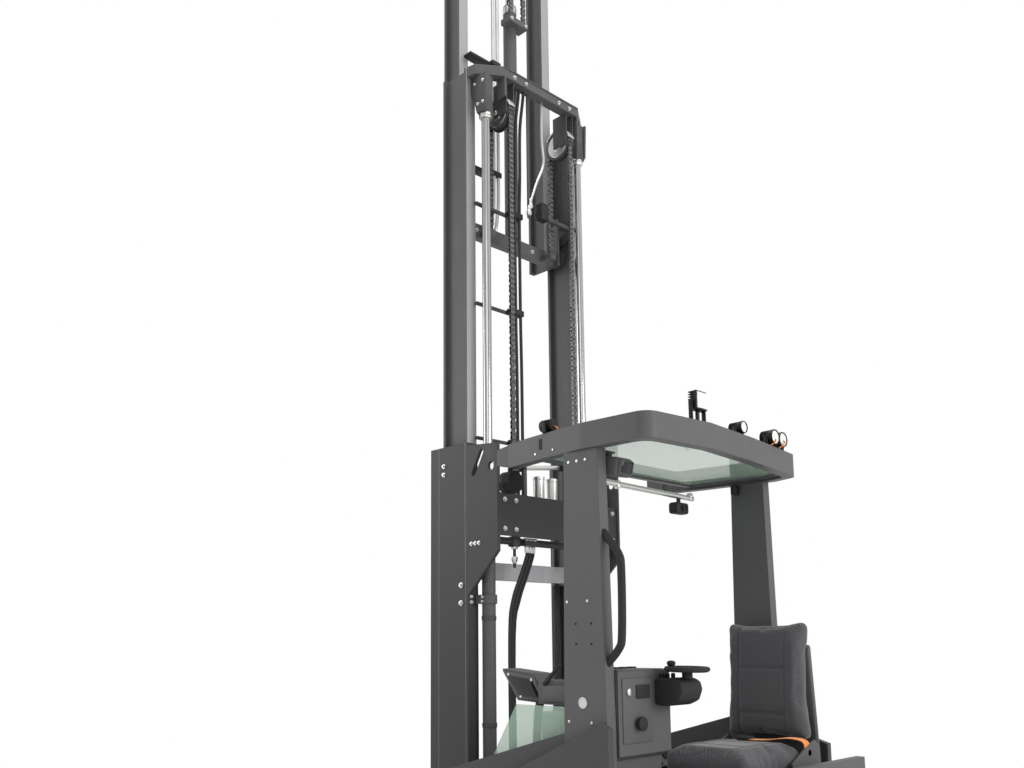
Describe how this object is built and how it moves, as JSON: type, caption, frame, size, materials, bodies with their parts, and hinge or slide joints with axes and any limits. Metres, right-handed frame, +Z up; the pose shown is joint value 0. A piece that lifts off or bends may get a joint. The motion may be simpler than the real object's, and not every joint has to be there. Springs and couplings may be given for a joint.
{
  "type": "reach truck",
  "caption": "Sit-on reach truck with reach legs, sideways seat under an overhead guard, and a three-stage sliding mast raised with its tilting forks.",
  "frame": {"origin": "on the floor, at the middle of the truck's length and width with the mast as drawn", "axes": "+X forward to the fork tips, +Y to the truck's left, +Z up"},
  "size_m": [2.81, 1.27, 6.63],
  "materials": {
    "body_paint": "satin charcoal paint",
    "panel_plastic": "fine grained charcoal moulding",
    "mast_paint": "satin charcoal paint",
    "black_plastic": "matte black",
    "grey_plastic": "matte grey",
    "light_plastic": "pale grey moulding",
    "battery_case": "painted battery trough",
    "clear_pane": "pale green clear pane",
    "chrome_rod": "polished hard chrome",
    "bare_steel": "machined steel",
    "chain_steel": "oiled chain steel",
    "cast_housing": "painted casting",
    "hose_rubber": "black hose rubber",
    "tyre_poly": "amber polyurethane tread",
    "drive_tread": "black solid tread",
    "seat_fabric": "woven dark fabric",
    "lamp_black": "black anodised"
  },
  "bodies": {
    "chassis": {"chassis_frame": "body_paint", "reach_legs": "body_paint", "operator_floor": "body_paint", "seat_box": "panel_plastic", "rear_panel": "body_paint", "side_panels": "panel_plastic", "battery": "battery_case", "battery_covers": "panel_plastic", "pillars": "body_paint", "roof_frame": "body_paint", "roof_glass": "clear_pane", "console": "grey_plastic", "display_unit": "grey_plastic", "connector_box": "light_plastic", "side_screen": "clear_pane", "armrest_pod": "black_plastic", "seat_base": "grey_plastic", "seat_cushion": "seat_fabric", "seat_back": "seat_fabric", "grab_handle": "body_paint", "roof_lamps": "lamp_black", "roof_monitor": "black_plastic", "drive_motor": "cast_housing"},
    "steer_unit": {"drive_gearbox": "cast_housing"},
    "drive_wheel": {"drive_hub": "bare_steel", "drive_tyre": "drive_tread"},
    "load_wheel_left": {"load_hub_left": "bare_steel", "load_tyre_left": "tyre_poly"},
    "load_wheel_right": {"load_hub_right": "bare_steel", "load_tyre_right": "tyre_poly"},
    "outer_mast": {"reach_carriage": "mast_paint", "outer_rails": "mast_paint", "lift_barrels": "mast_paint", "mast_hoses": "hose_rubber", "lift_chains": "chain_steel"},
    "middle_mast": {"mid_rails": "mast_paint", "lift_rods": "chrome_rod", "chain_sheaves": "mast_paint", "anchor_chains": "chain_steel"},
    "inner_mast": {"inner_rails": "mast_paint", "free_lift_barrel": "mast_paint", "carriage_chain": "chain_steel"},
    "free_rod": {"free_lift_rod": "chrome_rod", "lifting_chain": "chain_steel"},
    "fork_carriage": {"carriage": "mast_paint"},
    "tilt_frame": {"fork_frame": "mast_paint", "forks": "mast_paint"}
  },
  "joints": [
    {"name": "steer", "type": "hinge", "parent": "chassis", "child": "steer_unit", "pos_m": [-1.135, -0.12, 0.1715], "axis": [0, 0, 1], "range_deg": [-90, 90]},
    {"name": "drive_spin", "type": "hinge", "parent": "steer_unit", "child": "drive_wheel", "pos_m": [-1.135, -0.12, 0.1715], "axis": [0, 1, 0], "continuous": true},
    {"name": "load_spin_left", "type": "hinge", "parent": "chassis", "child": "load_wheel_left", "pos_m": [0.315, 0.565, 0.1425], "axis": [0, 1, 0], "continuous": true},
    {"name": "load_spin_right", "type": "hinge", "parent": "chassis", "child": "load_wheel_right", "pos_m": [0.315, -0.565, 0.1425], "axis": [0, 1, 0], "continuous": true},
    {"name": "reach", "type": "slide", "parent": "chassis", "child": "outer_mast", "axis": [1, 0, 0], "range_m": [-0.25, 0.35]},
    {"name": "mast_lift", "type": "slide", "parent": "outer_mast", "child": "middle_mast", "axis": [0, 0, 1], "range_m": [-1.6, 0], "deforming": ["lift_chains"]},
    {"name": "inner_lift", "type": "slide", "parent": "middle_mast", "child": "inner_mast", "axis": [0, 0, 1], "range_m": [-1.6, 0], "deforming": ["anchor_chains"]},
    {"name": "free_lift", "type": "slide", "parent": "inner_mast", "child": "free_rod", "axis": [0, 0, 1], "range_m": [-1.2, 0], "deforming": ["carriage_chain"]},
    {"name": "carriage_lift", "type": "slide", "parent": "free_rod", "child": "fork_carriage", "axis": [0, 0, 1], "range_m": [-1.2, 0], "deforming": ["lifting_chain"]},
    {"name": "fork_tilt", "type": "hinge", "parent": "fork_carriage", "child": "tilt_frame", "pos_m": [0.23, 0, 6.11], "axis": [0, -1, 0], "range_deg": [-2, 4]}
  ],
  "couplings": [
    {"joint": "inner_lift", "follows": "mast_lift", "ratio": 1},
    {"joint": "carriage_lift", "follows": "free_lift", "ratio": 1}
  ]
}
